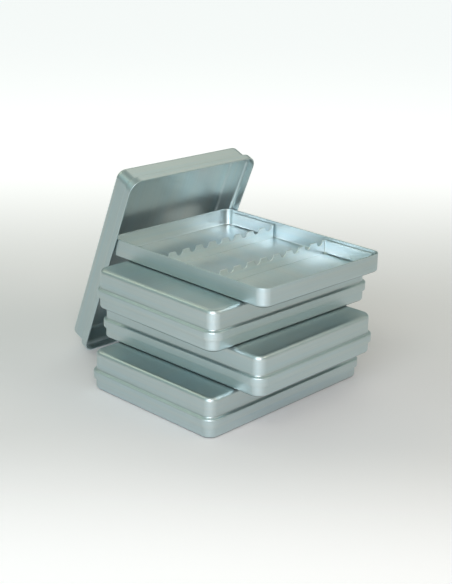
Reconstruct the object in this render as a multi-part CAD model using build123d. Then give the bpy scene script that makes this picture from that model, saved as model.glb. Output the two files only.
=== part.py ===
from build123d import *
import math
import os

# A set of four alike aluminium instrument cases: three closed ones stacked crosswise,
# and an open one on top whose lid leans on the stack.
# All lengths are in millimetres. The origin is the middle of the lowest case's underside, +Z is up,
# and the lowest case's long side runs along X.

# Tray: the lower half of a case
case_length = 183.0
case_width = 141.0
tray_height = 16.0
plan_corner_radius = 9.0
tray_bottom_radius = 2.5
sheet = 1.2
rim_edge_radius = 0.4

# Lid: lifts off, its lip reaches down outside the tray's rim
closed_height = 34.0
lip_overlap = 6.0
lip_clearance = 0.8
lid_wall_inset = 0.7
lid_top_radius = 3.5
step_outer_radius = 1.3
step_inner_radius = 1.3
seat_drop = 0.1

# Racks: two notched inserts that stand in each tray, bent from thinner sheet
rack_sheet = 1.0
rack_web_place = 30.0
rack_top_gap = 2.8
rack_wall_clearance = 0.4
rack_end_clearance = 0.4
rack_bend_radius = 2.2
rack_foot_relief_height = 1.6
rack_foot_relief_width = 2.6
notch_count = 9
notch_pitch = 15.2
notch_radius = 3.6
notch_depth = 4.4
tooth_corner_radius = 1.2

# Stack: how far each case was put down from the middle of the lowest one, and how far turned
crosswise = 90.0
middle_case_shift = (6.0, -3.1)
middle_case_turn = crosswise + 0.4
upper_case_shift = (9.0, 3.5)
upper_case_turn = -1.3
open_case_shift = (19.7, 2.1)
open_case_turn = crosswise - 1.6

# Leaning lid: stands on the rim of one short end and leans on the open tray's corners
lean_angle = 67.1
lean_clearance = 0.35
lean_search_steps = 90

# Modelling: how far a cutting shape reaches past what it cuts, and how near counts as the same place
cut_margin = 5.0
near = 1e-3

# Levels and reaches, measured in a closed case
lip_edge_level = tray_height - lip_overlap
step_under_level = tray_height - seat_drop
step_top_level = step_under_level + sheet
lid_depth = closed_height - lip_edge_level
lip_outer_offset = lip_clearance + sheet
lid_room_offset = -lid_wall_inset - sheet
step_bend_radius = step_inner_radius + sheet
rack_top_level = tray_height - rack_top_gap
rack_half_width = case_width / 2 - sheet - rack_wall_clearance
flange_end_place = case_length / 2 - plan_corner_radius - rack_end_clearance


def rounded_prism(offset, low, high):
    """A block with the case's outline, moved outwards by offset, from low to high."""
    outline = RectangleRounded(
        case_length + 2 * offset,
        case_width + 2 * offset,
        plan_corner_radius + offset,
    )
    return Pos(0, 0, low) * extrude(outline, high - low)


def edges_at(shape, height):
    """The edges that lie flat at one height."""
    found = []
    for edge in shape.edges():
        box = edge.bounding_box()
        if abs(box.min.Z - height) < near and abs(box.max.Z - height) < near:
            found.append(edge)
    return found


def loop_edges(shape, height, offset):
    """The edges at one height that follow the case's outline at one offset."""
    corner_x = case_length / 2 - plan_corner_radius
    corner_y = case_width / 2 - plan_corner_radius
    found = []
    for edge in edges_at(shape, height):
        middle = edge @ 0.5
        beyond_x = max(abs(middle.X) - corner_x, 0)
        beyond_y = max(abs(middle.Y) - corner_y, 0)
        if abs(math.hypot(beyond_x, beyond_y) - plan_corner_radius - offset) < near:
            found.append(edge)
    return found


def make_tray():
    """A drawn tray: flat floor, straight walls, rounded rim."""
    outside = rounded_prism(0, 0, tray_height)
    outside = fillet(edges_at(outside, 0), tray_bottom_radius)
    inside = rounded_prism(-sheet, sheet, tray_height + cut_margin)
    inside = fillet(edges_at(inside, sheet), tray_bottom_radius - sheet)
    tray = outside - inside
    return fillet(edges_at(tray, tray_height), rim_edge_radius)


def make_lid():
    """A drawn lid: a box with a rounded top edge, a stepped-out lip and one sheet thickness."""
    lip = rounded_prism(lip_outer_offset, lip_edge_level, step_top_level)
    lip = fillet(edges_at(lip, step_top_level), step_outer_radius)
    top = rounded_prism(-lid_wall_inset, step_under_level, closed_height)
    top = fillet(edges_at(top, closed_height), lid_top_radius)
    outside = lip + top
    outside = fillet(loop_edges(outside, step_top_level, -lid_wall_inset), step_inner_radius)

    lip_room = rounded_prism(lip_clearance, lip_edge_level - cut_margin, step_under_level)
    top_room = rounded_prism(lid_room_offset, lip_edge_level, closed_height - sheet)
    top_room = fillet(edges_at(top_room, closed_height - sheet), lid_top_radius - sheet)
    inside = lip_room + top_room
    inside = fillet(loop_edges(inside, step_under_level, lid_room_offset), step_bend_radius)

    lid = outside - inside
    return fillet(edges_at(lid, lip_edge_level), rim_edge_radius)


def make_notch_cutter():
    """A solid that cuts one notch, its round bottom and tooth corners, out of a web across X."""
    centre_z = notch_radius - notch_depth
    drop = centre_z + tooth_corner_radius
    reach = math.sqrt((notch_radius + tooth_corner_radius) ** 2 - drop ** 2)
    share = notch_radius / (notch_radius + tooth_corner_radius)
    touch_y = reach * share
    touch_z = centre_z - drop * share
    lean = math.atan2(touch_z + tooth_corner_radius, reach - touch_y)
    middle_angle = (lean + math.pi / 2) / 2
    middle_y = reach - tooth_corner_radius * math.cos(middle_angle)
    middle_z = -tooth_corner_radius + tooth_corner_radius * math.sin(middle_angle)
    with BuildSketch(Plane.YZ) as sketch:
        with BuildLine():
            ThreePointArc((-reach, 0), (-middle_y, middle_z), (-touch_y, touch_z))
            ThreePointArc((-touch_y, touch_z), (0, -notch_depth), (touch_y, touch_z))
            ThreePointArc((touch_y, touch_z), (middle_y, middle_z), (reach, 0))
            Polyline((reach, 0), (reach, cut_margin), (-reach, cut_margin), (-reach, 0))
        make_face()
    return extrude(sketch.sketch, cut_margin, both=True)


def make_rack():
    """A notched web across the tray with a flange at each end, turned towards the +X short wall."""
    height = rack_top_level - sheet
    band_length = flange_end_place + cut_margin - rack_web_place
    band_middle = rack_web_place + band_length / 2
    outer = RectangleRounded(band_length, 2 * rack_half_width, rack_bend_radius)
    inner = RectangleRounded(
        band_length - 2 * rack_sheet,
        2 * (rack_half_width - rack_sheet),
        rack_bend_radius - rack_sheet,
    )
    rack = Pos(band_middle, 0, sheet) * (extrude(outer, height) - extrude(inner, height))
    beyond_end = Box(band_length, case_width, tray_height)
    rack = rack - Pos(flange_end_place + band_length / 2, 0, tray_height / 2) * beyond_end

    relief_width = rack_foot_relief_width + cut_margin
    relief = Box(case_length, relief_width, 2 * rack_foot_relief_height)
    for side in (-1, 1):
        reach = rack_half_width - rack_foot_relief_width + relief_width / 2
        rack = rack - Pos(band_middle, side * reach, sheet) * relief

    cutter = make_notch_cutter()
    for index in range(notch_count):
        across = (index - (notch_count - 1) / 2) * notch_pitch
        rack = rack - Pos(rack_web_place, across, rack_top_level) * cutter
    return rack


def tray_offset_at(distance):
    """How far a tray's outline at a corner stands in from its side, this far from its end."""
    short = plan_corner_radius - min(distance, plan_corner_radius)
    return math.sqrt(plan_corner_radius ** 2 - short ** 2) - plan_corner_radius


def lid_offset_at(depth):
    """How far a lid's inner face stands out from the case's side, this deep behind its opening."""
    flat_depth = step_under_level - lip_edge_level
    if depth <= flat_depth:
        return lip_clearance
    rise = step_bend_radius - min(depth - flat_depth, step_bend_radius)
    return lid_room_offset + step_bend_radius - math.sqrt(step_bend_radius ** 2 - rise ** 2)


def tray_entry_depth():
    """How deep the tray's end reaches into the leaning lid before its corners meet the step."""
    lean = math.radians(lean_angle)
    depth = lid_depth - sheet
    while depth > 0:
        gaps = []
        for step in range(lean_search_steps + 1):
            distance = plan_corner_radius * step / lean_search_steps
            inner = lid_offset_at(depth - distance * math.sin(lean))
            gaps.append(inner - tray_offset_at(distance))
        if min(gaps) >= lean_clearance:
            return depth
        depth -= lean_clearance / lean_search_steps
    return 0.0


def leaning_place(rim_level):
    """Where the lid stands, tipped about its short side, for an open tray whose rim is this high."""
    lean = math.radians(lean_angle)
    foot = case_length / 2 + (rim_level * math.cos(lean) - tray_entry_depth()) / math.sin(lean)
    foot_rounding = rim_edge_radius * (math.sin(lean) + math.cos(lean) - 1)
    rim_reach = case_length / 2 + lip_outer_offset
    stand = Pos(foot, 0, -foot_rounding) * Rot(0, lean_angle, 0)
    return stand * Pos(-rim_reach, 0, -lip_edge_level)


def case_place(shift, level, turn):
    """Where a case stands: its middle, the height of its underside and its turn."""
    return Pos(shift[0], shift[1], level) * Rot(0, 0, turn)


tray = make_tray()
lid = make_lid()
rear_rack = make_rack()
front_rack = Rot(0, 0, 180) * rear_rack

closed_cases = (
    ("lower_case", (0, 0), 0),
    ("middle_case", middle_case_shift, middle_case_turn),
    ("upper_case", upper_case_shift, upper_case_turn),
)

pieces = {}
stack_height = 0.0
for name, shift, turn in closed_cases:
    place = case_place(shift, stack_height, turn)
    pieces[name + "_tray"] = place * tray
    pieces[name + "_rear_rack"] = place * rear_rack
    pieces[name + "_front_rack"] = place * front_rack
    pieces[name + "_lid"] = place * lid
    stack_height += closed_height

open_place = case_place(open_case_shift, stack_height, open_case_turn)
on_the_floor = case_place(open_case_shift, 0, open_case_turn)
pieces["open_case_tray"] = open_place * tray
pieces["open_case_rear_rack"] = open_place * rear_rack
pieces["open_case_front_rack"] = open_place * front_rack
pieces["open_case_lid"] = on_the_floor * leaning_place(stack_height + tray_height) * lid

os.makedirs("parts", exist_ok=True)
for name, shape in pieces.items():
    export_step(shape, "parts/" + name + ".step")
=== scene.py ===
import math

import bmesh
import bpy
from mathutils import Matrix, Vector


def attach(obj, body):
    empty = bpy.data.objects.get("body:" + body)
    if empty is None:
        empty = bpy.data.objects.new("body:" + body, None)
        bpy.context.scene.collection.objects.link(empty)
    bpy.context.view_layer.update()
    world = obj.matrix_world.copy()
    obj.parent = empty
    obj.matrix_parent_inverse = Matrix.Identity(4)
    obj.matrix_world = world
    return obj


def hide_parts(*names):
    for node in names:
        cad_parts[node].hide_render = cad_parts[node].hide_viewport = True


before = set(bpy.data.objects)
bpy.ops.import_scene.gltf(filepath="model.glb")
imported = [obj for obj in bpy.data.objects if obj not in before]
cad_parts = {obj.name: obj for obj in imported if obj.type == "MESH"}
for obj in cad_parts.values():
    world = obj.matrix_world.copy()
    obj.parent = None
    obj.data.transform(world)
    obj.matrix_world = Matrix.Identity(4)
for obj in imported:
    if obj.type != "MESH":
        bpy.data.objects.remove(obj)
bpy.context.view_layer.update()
print("frame loaded:", len(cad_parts), "nodes")

# how the photographer stood: metres and degrees, with the lens in millimetres
shot = {
    "place": (-0.660968, -0.634823, 0.407237),
    "yaw": 46.01,
    "pitch": 19.60,
    "roll": 0.89,
    "lens": 71.65,
    "sensor": 36.0,
    "nearest": 0.01,
}


def setCamera():
    view = bpy.data.cameras.new("studioCamera")
    view.lens = shot["lens"]
    view.sensor_width = shot["sensor"]
    view.clip_start = shot["nearest"]
    camera = bpy.data.objects.new("studioCamera", view)
    turn = (Matrix.Rotation(-math.radians(shot["yaw"]), 4, "Z")
            @ Matrix.Rotation(math.radians(90 - shot["pitch"]), 4, "X")
            @ Matrix.Rotation(math.radians(shot["roll"]), 4, "Z"))
    camera.matrix_world = Matrix.Translation(shot["place"]) @ turn
    bpy.context.scene.collection.objects.link(camera)
    bpy.context.scene.camera = camera


setCamera()
print("camera set")


# small helpers for node trees
def addNode(tree, kind, inputs=None, **settings):
    made = tree.nodes.new(kind)
    for key, value in settings.items():
        setattr(made, key, value)
    for key, value in (inputs or {}).items():
        if isinstance(value, bpy.types.NodeSocket):
            tree.links.new(value, made.inputs[key])
        else:
            made.inputs[key].default_value = value
    return made


def addMath(tree, operation, first, second=0.0):
    made = addNode(tree, "ShaderNodeMath", {0: first, 1: second}, operation=operation)
    return made.outputs[0]


def addVectorMath(tree, operation, first, second, output="Vector"):
    made = addNode(tree, "ShaderNodeVectorMath", {0: first, 1: second}, operation=operation)
    return made.outputs[output]


def addVector(tree, x=0.0, y=0.0, z=0.0):
    return addNode(tree, "ShaderNodeCombineXYZ", {"X": x, "Y": y, "Z": z}).outputs[0]


def addRamp(tree, value, start, end, low=0.0, high=1.0, easing="LINEAR"):
    made = addNode(tree, "ShaderNodeMapRange", {
        "Value": value, "From Min": start, "From Max": end, "To Min": low, "To Max": high,
    }, interpolation_type=easing)
    return made.outputs[0]


studio = {
    # soft boxes round the stack: azimuth, elevation, distance, width, height, power, colour
    "softBoxes": {
        "frontSoftBox": (225, 19, 1.25, 0.50, 0.50, 4.6, (1.0, 0.86, 0.90)),
        "leftSoftBox": (203, 24, 1.25, 0.46, 0.50, 2.7, (0.72, 0.91, 1.0)),
        "highSoftBox": (212, 50, 1.25, 0.90, 0.34, 2.6, (1.0, 0.92, 0.82)),
        "lowSoftBox": (214, 7, 1.25, 0.90, 0.26, 1.7, (0.62, 0.86, 1.0)),
        "rightSoftBox": (300, 38, 1.25, 0.60, 0.50, 1.9, (1.0, 0.85, 0.70)),
        "farLeftSoftBox": (152, 34, 1.25, 0.60, 0.60, 0.45, (0.66, 1.0, 1.0)),
        "sideSoftBox": (114, 44, 1.25, 0.50, 0.40, 0.90, (1.0, 0.97, 0.72)),
        "backSoftBox": (44, 50, 1.30, 1.10, 0.50, 1.55, (1.0, 0.90, 0.78)),
    },
    "aim": (0.0, 0.0, 0.08),
    "floorHalf": 8.0,
    "floorColour": (0.82, 0.80, 0.81, 1.0),
    "floorRoughness": 0.8,
    # the paper turns white away from the stack: which way, from and up to how far, and how much
    "glows": (
        ((0.719, 0.695, 0.0), 0.05, 0.90, 0.70),
        ((-0.767, -0.643, 0.0), 0.10, 0.30, 0.28),
    ),
    "nearGlow": 0.05,
    "glowColour": (1.0, 1.0, 1.0, 1.0),
    "fillColour": (0.82, 1.0, 0.93, 1.0),
    "fill": 0.30,
}


def addSoftBox(name, azimuth, elevation, distance, width, height, power, colour):
    around, up = math.radians(azimuth), math.radians(elevation)
    away = Vector((math.cos(up) * math.cos(around), math.cos(up) * math.sin(around), math.sin(up)))
    turn = away.to_track_quat("Z", "Y").to_matrix().to_4x4()
    lamp = bpy.data.lights.new(name, "AREA")
    lamp.shape = "RECTANGLE"
    lamp.size = width
    lamp.size_y = height
    lamp.energy = power
    lamp.color = colour
    box = bpy.data.objects.new(name, lamp)
    box.matrix_world = Matrix.Translation(Vector(studio["aim"]) + distance * away) @ turn
    bpy.context.scene.collection.objects.link(box)


# pale paper: its white is seen by the camera and mirrored by the metal, and lights nothing
def makePaper():
    paper = bpy.data.materials.new("studioPaper")
    paper.use_nodes = True
    tree = paper.node_tree
    shader = tree.nodes["Principled BSDF"]
    shader.inputs["Base Color"].default_value = studio["floorColour"]
    shader.inputs["Roughness"].default_value = studio["floorRoughness"]
    spot = addNode(tree, "ShaderNodeTexCoord").outputs["Object"]
    white = 0.0
    for side, start, end, glow in studio["glows"]:
        away = addVectorMath(tree, "DOT_PRODUCT", spot, side, "Value")
        sweep = addRamp(tree, away, start, end, studio["nearGlow"], glow, "SMOOTHSTEP")
        white = addMath(tree, "MAXIMUM", sweep, white)
    path = addNode(tree, "ShaderNodeLightPath").outputs
    rays = addMath(tree, "ADD", path["Is Camera Ray"], path["Is Glossy Ray"])
    seen = addMath(tree, "MINIMUM", rays, 1.0)
    shader.inputs["Emission Color"].default_value = studio["glowColour"]
    tree.links.new(addMath(tree, "MULTIPLY", white, seen), shader.inputs["Emission Strength"])
    return paper


def setStudio():
    for name, values in studio["softBoxes"].items():
        addSoftBox(name, *values)

    half = studio["floorHalf"]
    corners = [(-half, -half, 0), (half, -half, 0), (half, half, 0), (-half, half, 0)]
    mesh = bpy.data.meshes.new("studioFloor")
    mesh.from_pydata(corners, [], [(0, 1, 2, 3)])
    mesh.materials.append(makePaper())
    floor = bpy.data.objects.new("studioFloor", mesh)
    bpy.context.scene.collection.objects.link(floor)

    world = bpy.data.worlds.new("studioWorld")
    bpy.context.scene.world = world
    world.use_nodes = True
    background = world.node_tree.nodes["Background"]
    background.inputs["Color"].default_value = studio["fillColour"]
    background.inputs["Strength"].default_value = studio["fill"]
    bpy.context.scene.view_settings.view_transform = "Standard"


setStudio()
print("studio lit")


# sheet metal and where each case stands, in metres; each case has its own frame,
# with the middle of its underside at zero and its long side along X
caseSizes = {
    "length": 0.183,
    "width": 0.141,
    "cornerRadius": 0.009,
    "cornerSteps": 20,
    "sheet": 0.0012,
    "closedHeight": 0.034,
    "panelInset": 0.007,      # where the swept wall hands over to the flat panel
    "arcSteps": 8,
    "samePlace": 2e-6,        # points this close are one
    "sameLevel": 1e-5,
    "shadingWeight": 80,      # how much the large flat faces lead the shading at a bend
}

stack = {
    "lower": {"shift": (0.0, 0.0), "level": 0.0, "turn": 0.0},
    "middle": {"shift": (0.0060, -0.0031), "level": 0.034, "turn": 90.4},
    "upper": {"shift": (0.0090, 0.0035), "level": 0.068, "turn": -1.3},
    "open": {"shift": (0.0197, 0.0021), "level": 0.102, "turn": 88.4},
}

leaningLid = {
    "foot": 0.130192,         # from the open case's middle to the rim that the lid stands on
    "footDrop": 0.000124,     # brings the rounded rim down to the floor
    "lean": 67.1,
}

traySizes = {
    "height": 0.016,
    "bottomRadius": 0.0025,
    "rimRadius": 0.0004,
}

lidSizes = {
    "lipLevel": 0.010,
    "lipClearance": 0.0008,
    "stepUnderLevel": 0.0159,
    "wallInset": 0.0007,
    "topRadius": 0.0035,
    "stepOuterRadius": 0.0013,
    "stepInnerRadius": 0.0013,
    "stepCrease": 0.0001,
    "rimRadius": 0.0004,
}


def casePlace(name, level=None):
    stand = stack[name]
    height = stand["level"] if level is None else level
    turn = Matrix.Rotation(math.radians(stand["turn"]), 4, "Z")
    return Matrix.Translation((*stand["shift"], height)) @ turn


def leaningPlace():
    reach = caseSizes["length"] / 2 + lidSizes["lipClearance"] + caseSizes["sheet"]
    return (casePlace("open", 0.0)
            @ Matrix.Translation((leaningLid["foot"], 0, -leaningLid["footDrop"]))
            @ Matrix.Rotation(math.radians(leaningLid["lean"]), 4, "Y")
            @ Matrix.Translation((-reach, 0, -lidSizes["lipLevel"])))


# a line of square corners, each with its rounding: (out, up, radius)
def roundCorners(corners):
    points = []
    for index, (out, up, radius) in enumerate(corners):
        here = Vector((out, up))
        if radius == 0 or index in (0, len(corners) - 1):
            points.append(here)
            continue
        back = (Vector(corners[index - 1][:2]) - here).normalized()
        on = (Vector(corners[index + 1][:2]) - here).normalized()
        centre = here + radius * (back + on)
        for step in range(caseSizes["arcSteps"] + 1):
            angle = math.pi / 2 * step / caseSizes["arcSteps"]
            points.append(centre - radius * (on * math.cos(angle) + back * math.sin(angle)))
    return points


def trayProfile():
    sheet = caseSizes["sheet"]
    inset = -caseSizes["panelInset"]
    return roundCorners((
        (inset, 0, 0),
        (0, 0, traySizes["bottomRadius"]),
        (0, traySizes["height"], traySizes["rimRadius"]),
        (-sheet, traySizes["height"], traySizes["rimRadius"]),
        (-sheet, sheet, traySizes["bottomRadius"] - sheet),
        (inset, sheet, 0),
    ))


def lidProfile():
    sheet = caseSizes["sheet"]
    top = caseSizes["closedHeight"]
    inset = -caseSizes["panelInset"]
    lipInner = lidSizes["lipClearance"]
    wallOuter = -lidSizes["wallInset"]
    under = lidSizes["stepUnderLevel"]
    return roundCorners((
        (inset, top, 0),
        (wallOuter, top, lidSizes["topRadius"]),
        (wallOuter, under + sheet, lidSizes["stepInnerRadius"]),
        (lipInner + sheet, under + sheet, lidSizes["stepOuterRadius"]),
        (lipInner + sheet, lidSizes["lipLevel"], lidSizes["rimRadius"]),
        (lipInner, lidSizes["lipLevel"], lidSizes["rimRadius"]),
        (lipInner, under, lidSizes["stepCrease"]),
        (wallOuter - sheet, under, lidSizes["stepInnerRadius"] + sheet),
        (wallOuter - sheet, top - sheet, lidSizes["topRadius"] - sheet),
        (inset, top - sheet, 0),
    ))


def newTree(name, sockets):
    tree = bpy.data.node_groups.new(name, "GeometryNodeTree")
    tree.interface.new_socket("Geometry", in_out="INPUT", socket_type="NodeSocketGeometry")
    tree.interface.new_socket("Geometry", in_out="OUTPUT", socket_type="NodeSocketGeometry")
    for label, kind in sockets:
        tree.interface.new_socket(label, in_out="INPUT", socket_type="NodeSocket" + kind)
    given = tree.nodes.new("NodeGroupInput").outputs
    result = tree.nodes.new("NodeGroupOutput").inputs
    return tree, given, result


def addPosition(tree):
    position = addNode(tree, "GeometryNodeInputPosition").outputs[0]
    return addNode(tree, "ShaderNodeSeparateXYZ", {0: position}).outputs


# every tree ends with one smooth, real and painted mesh
def endTree(tree, geometry, given, result):
    smooth = addNode(tree, "GeometryNodeSetShadeSmooth", {"Geometry": geometry})
    real = addNode(tree, "GeometryNodeRealizeInstances", {"Geometry": smooth.outputs[0]})
    painted = addNode(tree, "GeometryNodeSetMaterial", {
        "Geometry": real.outputs[0], "Material": given["Material"]})
    tree.links.new(painted.outputs[0], result["Geometry"])


# one drawn shell: the wall's profile swept round the rounded outline, and the two flat panels
def makeShellTree():
    tree, given, result = newTree("drawnShell", (
        ("Length", "Float"), ("Width", "Float"), ("Corner Radius", "Float"), ("Corner Steps", "Int"),
        ("Outer Panel Level", "Float"), ("Inner Panel Level", "Float"), ("Material", "Material"),
    ))
    profile = addNode(tree, "GeometryNodeMeshToCurve", {"Mesh": given["Geometry"]})
    outline = addNode(tree, "GeometryNodeCurvePrimitiveQuadrilateral", {
        "Width": given["Length"], "Height": given["Width"]}, mode="RECTANGLE")
    rounded = addNode(tree, "GeometryNodeFilletCurve", {
        "Curve": outline.outputs["Curve"], "Count": given["Corner Steps"],
        "Radius": given["Corner Radius"]}, mode="POLY")
    wall = addNode(tree, "GeometryNodeCurveToMesh", {
        "Curve": rounded.outputs["Curve"], "Profile Curve": profile.outputs["Curve"]})

    # the open ring at the outer panel's level is filled once and set at both levels
    above = addMath(tree, "SUBTRACT", addPosition(tree)["Z"], given["Outer Panel Level"])
    atLevel = addNode(tree, "FunctionNodeCompare", {
        "A": addMath(tree, "ABSOLUTE", above), "B": caseSizes["sameLevel"],
    }, data_type="FLOAT", operation="LESS_THAN")
    faces = addNode(tree, "GeometryNodeInputMeshEdgeNeighbors")
    single = addNode(tree, "FunctionNodeCompare", {
        2: faces.outputs["Face Count"], 3: 1}, data_type="INT", operation="EQUAL")
    openEdge = addNode(tree, "FunctionNodeBooleanMath", {
        0: atLevel.outputs[0], 1: single.outputs[0]}, operation="AND")
    ring = addNode(tree, "GeometryNodeMeshToCurve", {
        "Mesh": wall.outputs["Mesh"], "Selection": openEdge.outputs[0]})
    panel = addNode(tree, "GeometryNodeFillCurve", {"Curve": ring.outputs["Curve"]}, mode="NGONS")
    joined = addNode(tree, "GeometryNodeJoinGeometry")
    tree.links.new(wall.outputs["Mesh"], joined.inputs[0])
    for level in ("Outer Panel Level", "Inner Panel Level"):
        moved = addNode(tree, "GeometryNodeTransform", {
            "Geometry": panel.outputs["Mesh"], "Translation": addVector(tree, z=given[level])})
        tree.links.new(moved.outputs["Geometry"], joined.inputs[0])
    merged = addNode(tree, "GeometryNodeMergeByDistance", {
        "Geometry": joined.outputs[0], "Distance": caseSizes["samePlace"]})
    endTree(tree, merged.outputs["Geometry"], given, result)
    return tree


# run a tree on a line of points and give back the plain mesh
def runTree(name, tree, points, values):
    mesh = bpy.data.meshes.new(name + "Line")
    mesh.from_pydata(points, [(index, index + 1) for index in range(len(points) - 1)], [])
    host = bpy.data.objects.new(name + "Line", mesh)
    bpy.context.scene.collection.objects.link(host)
    modifier = host.modifiers.new("maker", "NODES")
    modifier.node_group = tree
    for item in tree.interface.items_tree:
        if item.in_out == "INPUT" and item.name in values:
            modifier[item.identifier] = values[item.name]
    graph = bpy.context.evaluated_depsgraph_get()
    made = bpy.data.meshes.new_from_object(host.evaluated_get(graph))
    made.name = name
    bpy.data.objects.remove(host)
    bpy.data.meshes.remove(mesh)
    return made


# put a mesh in its place, faces outwards, and even out its shading with area weights
def finishPiece(name, mesh, place, modifiers=()):
    shape = bmesh.new()
    shape.from_mesh(mesh)
    bmesh.ops.remove_doubles(shape, verts=shape.verts, dist=caseSizes["samePlace"])
    bmesh.ops.recalc_face_normals(shape, faces=shape.faces)
    if modifiers:             # an open strip: its face nearest to the case's middle looks there
        front = min(shape.faces, key=lambda face: face.calc_center_median().x)
        if front.normal.x > 0:
            bmesh.ops.reverse_faces(shape, faces=shape.faces)
    shape.transform(place)
    shape.to_mesh(mesh)
    shape.free()
    piece = bpy.data.objects.new(name, mesh)
    bpy.context.scene.collection.objects.link(piece)
    for kind, settings in modifiers:
        added = piece.modifiers.new(kind.lower(), kind)
        for key, value in settings.items():
            setattr(added, key, value)
    even = piece.modifiers.new("evenShading", "WEIGHTED_NORMAL")
    even.mode = "FACE_AREA"
    even.weight = caseSizes["shadingWeight"]
    even.keep_sharp = True
    graph = bpy.context.evaluated_depsgraph_get()
    finished = bpy.data.meshes.new_from_object(piece.evaluated_get(graph))
    piece.modifiers.clear()
    piece.data = finished
    finished.name = name
    return piece


# satin anodised aluminium; tones and roughness are shares, depths and levels are metres
satinFinish = {
    "coolColour": (0.550, 0.665, 0.692, 1.0),
    "warmColour": (0.595, 0.665, 0.660, 1.0),
    "tintSpread": 0.24,       # a smaller spread makes the bands between the two stronger
    # painted light: inside faces and the racks are painted paler, standing in for light bounced round
    # inside the case
    "insideLightTint": (1.18, 1.14, 1.14, 1.0),
    "rackLightTint": (1.25, 1.19, 1.19, 1.0),
    "roughness": {"outside": 0.41, "inside": 0.34, "rack": 0.32},   # the inside is hardly handled
    # patterns: how often they change in a metre, all ways or along X, Y and Z; detail; harshness
    "patterns": {
        "wallGrain": ((14, 14, 1000), 3.0, 0.6),
        "panelGrain": ((12, 800, 14), 3.0, 0.6),
        "wallBands": ((5, 5, 190), 1.0, 0.5),
        "panelBands": ((4, 60, 5), 1.0, 0.5),
        "smudge": (34.0, 4.0, 0.55),
        "wave": (13.0, 0.0, 0.5),
        "etch": (2400.0, 1.0, 0.5),
    },
    "grainTone": 0.12,
    "grainRoughness": 0.10,
    "grainDepth": 0.000028,
    "smudgeTone": 0.06,
    "smudgeRoughness": 0.08,
    "waveDepth": 0.00012,
    "etchDepth": 0.0000010,
    "panelFrom": 0.0019,      # a panel begins this far below the top, or above the underside,
    "panelTo": 0.0013,        # and is all panel from here on
    # bends and rims are painted lighter by this share: partly wear, partly a painted highlight
    "bendWearAndHighlightTone": 0.06,
    "bendRoughness": 0.12,    # how much duller a bend or rim is
    "creaseLevel": 0.0180,    # the hollow above a lid's step
    "creaseReach": 0.0007,
    # painted shade: the hollow above a lid's step keeps this share of its tone
    "creaseShadeTone": 0.86,
    "contactShadeFrom": 0.0004,     # painted shade on a tray's bottom bend, where it sits on the case below
    "contactShadeTo": 0.0016,
    # painted shade: the share of tone left at the foot of that bend
    "contactShadeTone": 0.35,
    "webMiddle": 0.0305,      # a rack's web, whose punched edges are painted lighter as a highlight
    "webReach": 0.0009,
    "cutFrom": 0.35,          # an edge's face looks along the case this little, or less,
    "cutTo": 0.75,            # and a plain face this much, or more
    # painted highlight: how much lighter a punched edge is painted
    "punchedHighlightTone": 0.30,
}

# heights of the bends and rims, and how far each reaches
bendHeights = {
    "tray": ((0.0160, 0.0005), (0.0010, 0.0018)),
    "lid": ((0.0101, 0.0005), (0.0167, 0.0009), (0.0326, 0.0018)),
    "rack": ((0.0132, 0.0003),),
}


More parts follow.
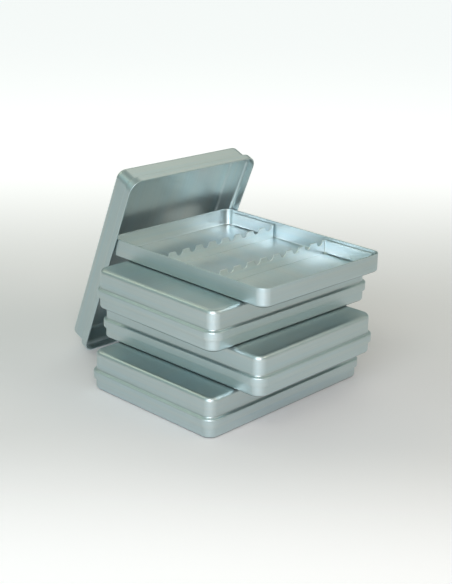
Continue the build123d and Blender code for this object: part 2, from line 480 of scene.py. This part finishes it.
def makeAluminium(name, kind, place):
    look = satinFinish
    material = bpy.data.materials.new(name)
    material.use_nodes = True
    tree = material.node_tree
    shader = tree.nodes["Principled BSDF"]

    # the pattern follows the piece: its own frame, wherever the case stands
    spot = addNode(tree, "ShaderNodeTexCoord").outputs["Object"]
    turned = addNode(tree, "ShaderNodeMapping", {
        "Vector": spot, "Location": place.to_translation(), "Rotation": place.to_euler(),
    }, vector_type="TEXTURE").outputs[0]
    local = addNode(tree, "ShaderNodeSeparateXYZ", {0: turned}).outputs
    normal = addNode(tree, "ShaderNodeNewGeometry").outputs["Normal"]

    def compute(operation, first, second=0.0):
        return addMath(tree, operation, first, second)

    def apart(value, level):
        return compute("ABSOLUTE", compute("SUBTRACT", value, level))

    def blend(factor, first, second):
        made = addNode(tree, "ShaderNodeMix", {0: factor, 2: first, 3: second}, data_type="FLOAT")
        return made.outputs[0]

    def pattern(label):
        scale, detail, harshness = look["patterns"][label]
        where = turned
        if isinstance(scale, tuple):   # stretched along the sheet
            stretched = [compute("MULTIPLY", local[axis], times) for axis, times in zip("XYZ", scale)]
            where = addVector(tree, *stretched)
            scale = 1.0
        noise = addNode(tree, "ShaderNodeTexNoise", {
            "Vector": where, "Scale": scale, "Detail": detail, "Roughness": harshness})
        return compute("SUBTRACT", noise.outputs["Fac"], 0.5)

    # the sum of some patterns, each times its share
    def addShares(*shares):
        total = None
        for part, share in reversed(shares):
            scaled = compute("MULTIPLY", part, share)
            total = scaled if total is None else compute("ADD", scaled, total)
        return total

    # flat panels lie at the bottom and the top of a closed case
    half = caseSizes["closedHeight"] / 2
    onPanel = addRamp(tree, apart(local["Z"], half), half - look["panelFrom"], half - look["panelTo"])
    offPanel = compute("SUBTRACT", 1.0, onPanel)

    # rolling grain: round the walls, and along the length of the panels
    grain = blend(onPanel, pattern("wallGrain"), pattern("panelGrain"))
    bands = blend(onPanel, pattern("wallBands"), pattern("panelBands"))
    smudge = pattern("smudge")

    bend = 0.0
    for level, reach in bendHeights[kind]:
        near = addRamp(tree, apart(local["Z"], level), 0.0, reach, 1.0, 0.0)
        bend = compute("MAXIMUM", bend, near)
    bend = compute("MULTIPLY", bend, offPanel)

    # a face that looks back at its case's middle is inside
    fromMiddle = addVectorMath(tree, "SUBTRACT", spot, place @ Vector((0, 0, half)))
    facing = addVectorMath(tree, "DOT_PRODUCT", fromMiddle, normal, "Value")
    inside = compute("LESS_THAN", facing, 0.0)

    tint = addRamp(tree, bands, -look["tintSpread"], look["tintSpread"])
    mixed = addNode(tree, "ShaderNodeMix", {
        0: tint, 6: look["coolColour"], 7: look["warmColour"]}, data_type="RGBA")
    # grain and smudges vary the tone; bends and rims are painted lighter, partly wear and partly a
    # painted highlight
    tone = compute("ADD", 1.0, addShares(
        (grain, look["grainTone"]), (smudge, look["smudgeTone"]), (bend, look["bendWearAndHighlightTone"])))
    if kind == "rack":        # faces of the web that look sideways or up are its punched edges, painted lighter as a highlight
        along = place.to_3x3() @ Vector((1, 0, 0))
        across = compute("ABSOLUTE", addVectorMath(tree, "DOT_PRODUCT", normal, along, "Value"))
        punchedHighlight = addRamp(tree, across, look["cutFrom"], look["cutTo"], look["punchedHighlightTone"], 0.0)
        onWeb = compute("LESS_THAN", apart(local["X"], look["webMiddle"]), look["webReach"])
        tone = compute("ADD", tone, compute("MULTIPLY", punchedHighlight, onWeb))
    if kind == "lid":         # painted shade: the hollow above its step is painted a little darker
        fromCrease = apart(local["Z"], look["creaseLevel"])
        creaseShade = addRamp(tree, fromCrease, 0.0, look["creaseReach"], look["creaseShadeTone"], 1.0)
        tone = compute("MULTIPLY", tone, compute("MAXIMUM", creaseShade, inside))
    if kind == "tray":        # painted shade: its bottom bend is darker where it sits on the case below
        foot = addRamp(tree, local["Z"], look["contactShadeFrom"], look["contactShadeTo"],
                       look["contactShadeTone"], 1.0, "SMOOTHSTEP")
        tone = compute("MULTIPLY", tone, compute("MAXIMUM", foot, inside))
    toned = addNode(tree, "ShaderNodeVectorMath", {
        0: mixed.outputs[2], "Scale": tone}, operation="SCALE")

    # painted light: the inside is a little paler and more neutral, and a rack paler still, standing
    # in for light bounced round inside the case
    paler = addNode(tree, "ShaderNodeMix", {
        0: 1.0 if kind == "rack" else inside,
        6: toned.outputs[0],
        7: look["rackLightTint"] if kind == "rack" else look["insideLightTint"],
    }, data_type="RGBA", blend_type="MULTIPLY")
    tree.links.new(paler.outputs[2], shader.inputs["Base Color"])

    if kind == "rack":
        plain = look["roughness"]["rack"]
    else:
        smoother = compute("MULTIPLY", inside, offPanel) if kind == "tray" else inside
        change = look["roughness"]["inside"] - look["roughness"]["outside"]
        plain = compute("ADD", look["roughness"]["outside"], compute("MULTIPLY", smoother, change))
    rough = compute("ADD", plain, addShares(
        (grain, look["grainRoughness"]), (smudge, look["smudgeRoughness"])))
    duller = compute("ADD", 1.0, compute("MULTIPLY", bend, look["bendRoughness"]))
    tree.links.new(compute("MULTIPLY", rough, duller), shader.inputs["Roughness"])
    shader.inputs["Metallic"].default_value = 1.0

    height = addShares(
        (grain, look["grainDepth"]),
        (pattern("wave"), look["waveDepth"]),
        (pattern("etch"), look["etchDepth"]))
    relief = addNode(tree, "ShaderNodeBump", {"Height": height, "Strength": 1.0, "Distance": 1.0})
    tree.links.new(relief.outputs[0], shader.inputs["Normal"])
    return material


shellTree = makeShellTree()


def makeShell(name, kind, place, body):
    profile = trayProfile() if kind == "tray" else lidProfile()
    sheet = caseSizes["sheet"]
    outer = 0.0 if kind == "tray" else caseSizes["closedHeight"]
    inner = sheet if kind == "tray" else caseSizes["closedHeight"] - sheet
    mesh = runTree(name, shellTree, [(point.x, -point.y, 0) for point in profile], {
        "Length": caseSizes["length"],
        "Width": caseSizes["width"],
        "Corner Radius": caseSizes["cornerRadius"],
        "Corner Steps": caseSizes["cornerSteps"],
        "Outer Panel Level": outer,
        "Inner Panel Level": inner,
        "Material": makeAluminium(name.replace("Shell", "Metal"), kind, place),
    })
    node = name.replace("Shell", "")
    piece = finishPiece(name, mesh, place)
    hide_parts(node)
    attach(piece, body)


for name in stack:
    trayBody = name + "_tray"
    lidBody = "leaning_lid" if name == "open" else name + "_lid"
    lidPlace = leaningPlace() if name == "open" else casePlace(name)
    makeShell(name + "_case_trayShell", "tray", casePlace(name), trayBody)
    makeShell(name + "_case_lidShell", "lid", lidPlace, lidBody)
print("trays and lids drawn")


# racks: the flat strip of teeth is made first, then folded along the path of its two bends
rackSizes = {
    "sheet": 0.0010,
    "webPlace": 0.030,
    "halfWidth": 0.0689,
    "flangeEnd": 0.0821,
    "bendRadius": 0.0022,
    "bendSteps": 10,
    "topLevel": 0.0132,
    "footRelief": 0.0016,
    "reliefWidth": 0.0026,
    "reliefRamp": 0.0008,
    "notchCount": 9,
    "notchPitch": 0.0152,
    "notchRadius": 0.0036,
    "notchDepth": 0.0044,
    "toothRadius": 0.0012,
    "arcSteps": 9,
    "flatPoints": 3,          # along a tooth's top
    "endPoints": 160,         # from the last notch to the flange's end
    "edgeRadius": 0.00016,
    "edgeSteps": 2,
    "sharpFrom": 40,          # degrees: a sharper edge is rounded
    "samePlace": 4e-6,
    "stripHeight": 0.02,      # the strip is drawn down this far, and all below the line is its foot
    "footLine": -0.008,
}


def makeRackTree():
    tree, given, result = newTree("foldedRack", (
        ("Notch Count", "Int"), ("Notch Pitch", "Float"), ("Notch Radius", "Float"),
        ("Notch Depth", "Float"), ("Tooth Radius", "Float"), ("Arc Steps", "Int"),
        ("Half Length", "Float"), ("End Points", "Int"), ("Top Level", "Float"),
        ("Foot Level", "Float"), ("Foot Relief", "Float"), ("Relief Start", "Float"),
        ("Bend Radius", "Float"), ("Bend Steps", "Int"), ("Material", "Material"),
    ))

    def compute(operation, first, second=0.0):
        return addMath(tree, operation, first, second)

    # one notch with its two tooth corners, from arcs that meet without a kink
    centreUp = compute("SUBTRACT", given["Notch Radius"], given["Notch Depth"])
    both = compute("ADD", given["Notch Radius"], given["Tooth Radius"])
    drop = compute("ADD", centreUp, given["Tooth Radius"])
    reach = compute("SQRT", compute("SUBTRACT", compute("MULTIPLY", both, both),
                                    compute("MULTIPLY", drop, drop)))
    tilt = compute("ARCTAN2", drop, reach)
    edges = addNode(tree, "GeometryNodeJoinGeometry")

    def addArc(radius, start, sweep, out, up):
        arc = addNode(tree, "GeometryNodeCurveArc", {
            "Resolution": given["Arc Steps"], "Radius": radius,
            "Start Angle": start, "Sweep Angle": sweep}, mode="RADIUS")
        moved = addNode(tree, "GeometryNodeTransform", {
            "Geometry": arc.outputs["Curve"], "Translation": addVector(tree, out, up)})
        line = addNode(tree, "GeometryNodeCurveToMesh", {"Curve": moved.outputs["Geometry"]})
        tree.links.new(line.outputs["Mesh"], edges.inputs[0])

    halfTurn = math.pi
    toothUp = compute("MULTIPLY", given["Tooth Radius"], -1.0)
    addArc(given["Notch Radius"], compute("SUBTRACT", tilt, halfTurn),
           compute("SUBTRACT", halfTurn, compute("MULTIPLY", tilt, 2.0)), 0.0, centreUp)
    sweep = compute("SUBTRACT", halfTurn / 2, tilt)
    addArc(given["Tooth Radius"], halfTurn / 2, sweep, reach, toothUp)
    addArc(given["Tooth Radius"], tilt, sweep, compute("MULTIPLY", reach, -1.0), toothUp)

    firstNotch = compute("MULTIPLY", compute("SUBTRACT", given["Notch Count"], 1.0),
                         compute("MULTIPLY", given["Notch Pitch"], -0.5))
    row = addNode(tree, "GeometryNodeMeshLine", {
        "Count": given["Notch Count"],
        "Start Location": addVector(tree, firstNotch),
        "Offset": addVector(tree, given["Notch Pitch"]),
    }, mode="OFFSET")
    notches = addNode(tree, "GeometryNodeInstanceOnPoints", {
        "Points": row.outputs["Mesh"], "Instance": edges.outputs[0]})
    laid = addNode(tree, "GeometryNodeRealizeInstances", {"Geometry": notches.outputs["Instances"]})

    # the flat tops between notches, and the long plain ends that become bends and flanges
    chain = addNode(tree, "GeometryNodeJoinGeometry")
    tree.links.new(laid.outputs["Geometry"], chain.inputs[0])
    gaps = addNode(tree, "GeometryNodeMeshLine", {
        "Count": compute("SUBTRACT", given["Notch Count"], 1.0),
        "Start Location": addVector(tree, compute("ADD", firstNotch, reach)),
        "Offset": addVector(tree, given["Notch Pitch"]),
    }, mode="OFFSET")
    gapWidth = compute("SUBTRACT", given["Notch Pitch"], compute("MULTIPLY", reach, 2.0))
    flat = addNode(tree, "GeometryNodeMeshLine", {
        "Count": rackSizes["flatPoints"],
        "Offset": addVector(tree, compute("MULTIPLY", gapWidth, 1 / (rackSizes["flatPoints"] - 1))),
    }, mode="OFFSET")
    tops = addNode(tree, "GeometryNodeInstanceOnPoints", {
        "Points": gaps.outputs["Mesh"], "Instance": flat.outputs["Mesh"]})
    topsLaid = addNode(tree, "GeometryNodeRealizeInstances", {"Geometry": tops.outputs["Instances"]})
    tree.links.new(topsLaid.outputs["Geometry"], chain.inputs[0])
    lastEdge = compute("SUBTRACT", reach, firstNotch)
    for side in (-1.0, 1.0):
        ends = addNode(tree, "GeometryNodeMeshLine", {
            "Count": given["End Points"],
            "Start Location": addVector(tree, compute("MULTIPLY", lastEdge, side)),
            "Offset": addVector(tree, compute("MULTIPLY", given["Half Length"], side)),
        }, mode="END_POINTS")
        tree.links.new(ends.outputs["Mesh"], chain.inputs[0])
    joined = addNode(tree, "GeometryNodeMergeByDistance", {
        "Geometry": chain.outputs[0], "Distance": rackSizes["samePlace"]})

    # draw the strip's foot down from its teeth
    strip = addNode(tree, "GeometryNodeExtrudeMesh", {
        "Mesh": joined.outputs["Geometry"], "Offset": addVector(tree, y=-1.0),
        "Offset Scale": rackSizes["stripHeight"]}, mode="EDGES")
    place = addPosition(tree)
    isFoot = addNode(tree, "FunctionNodeCompare", {
        "A": place["Y"], "B": rackSizes["footLine"]}, data_type="FLOAT", operation="LESS_THAN")
    reliefEnd = compute("ADD", given["Relief Start"], rackSizes["reliefRamp"])
    raised = compute("ADD", given["Foot Level"], given["Foot Relief"])
    foot = addRamp(tree, compute("ABSOLUTE", place["X"]), given["Relief Start"], reliefEnd,
                   given["Foot Level"], raised)
    up = addNode(tree, "GeometryNodeSwitch", {
        0: isFoot.outputs[0], 1: compute("ADD", given["Top Level"], place["Y"]), 2: foot,
    }, input_type="FLOAT")

    # fold it: the host's line is the path, seen from above
    host = addNode(tree, "GeometryNodeMeshToCurve", {"Mesh": given["Geometry"]})
    path = addNode(tree, "GeometryNodeFilletCurve", {
        "Curve": host.outputs["Curve"], "Count": given["Bend Steps"],
        "Radius": given["Bend Radius"]}, mode="POLY")
    sample = addNode(tree, "GeometryNodeSampleCurve", {
        "Curves": path.outputs["Curve"],
        "Length": compute("ADD", place["X"], given["Half Length"])}, mode="LENGTH")
    folded = addVectorMath(tree, "ADD", sample.outputs["Position"], addVector(tree, z=up.outputs[0]))
    bent = addNode(tree, "GeometryNodeSetPosition", {
        "Geometry": strip.outputs["Mesh"], "Position": folded})
    endTree(tree, bent.outputs["Geometry"], given, result)
    return tree


rackTree = makeRackTree()


def makeRack(name, place, body):
    web = rackSizes["webPlace"]
    half = rackSizes["halfWidth"]
    end = rackSizes["flangeEnd"]
    bend = rackSizes["bendRadius"]
    path = [(end, -half, 0), (web, -half, 0), (web, half, 0), (end, half, 0)]
    # length of half the path, with its bend as the chords that the fillet makes
    turn = math.pi / 2 / rackSizes["bendSteps"]
    bendLength = rackSizes["bendSteps"] * 2 * bend * math.sin(turn / 2)
    halfLength = (half - bend) + bendLength + (end - web - bend)
    mesh = runTree(name, rackTree, path, {
        "Notch Count": rackSizes["notchCount"],
        "Notch Pitch": rackSizes["notchPitch"],
        "Notch Radius": rackSizes["notchRadius"],
        "Notch Depth": rackSizes["notchDepth"],
        "Tooth Radius": rackSizes["toothRadius"],
        "Arc Steps": rackSizes["arcSteps"],
        "Half Length": halfLength,
        "End Points": rackSizes["endPoints"],
        "Top Level": rackSizes["topLevel"],
        "Foot Level": caseSizes["sheet"],
        "Foot Relief": rackSizes["footRelief"],
        "Relief Start": half - rackSizes["reliefWidth"],
        "Bend Radius": bend,
        "Bend Steps": rackSizes["bendSteps"],
        "Material": makeAluminium(name.replace("Strip", "Metal"), "rack", place),
    })
    piece = finishPiece(name, mesh, place, (
        ("SOLIDIFY", {"thickness": rackSizes["sheet"], "offset": -1.0, "use_even_offset": True}),
        ("BEVEL", {
            "width": rackSizes["edgeRadius"], "segments": rackSizes["edgeSteps"],
            "limit_method": "ANGLE", "angle_limit": math.radians(rackSizes["sharpFrom"]),
            "harden_normals": False}),
    ))
    node = name.replace("Strip", "")
    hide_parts(node)
    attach(piece, body)


for name in stack:
    for end, turn in (("rear", 0), ("front", 180)):
        body = f"open_{end}_rack" if name == "open" else name + "_tray"
        place = casePlace(name) @ Matrix.Rotation(math.radians(turn), 4, "Z")
        makeRack(f"{name}_case_{end}_rackStrip", place, body)
print("racks folded")
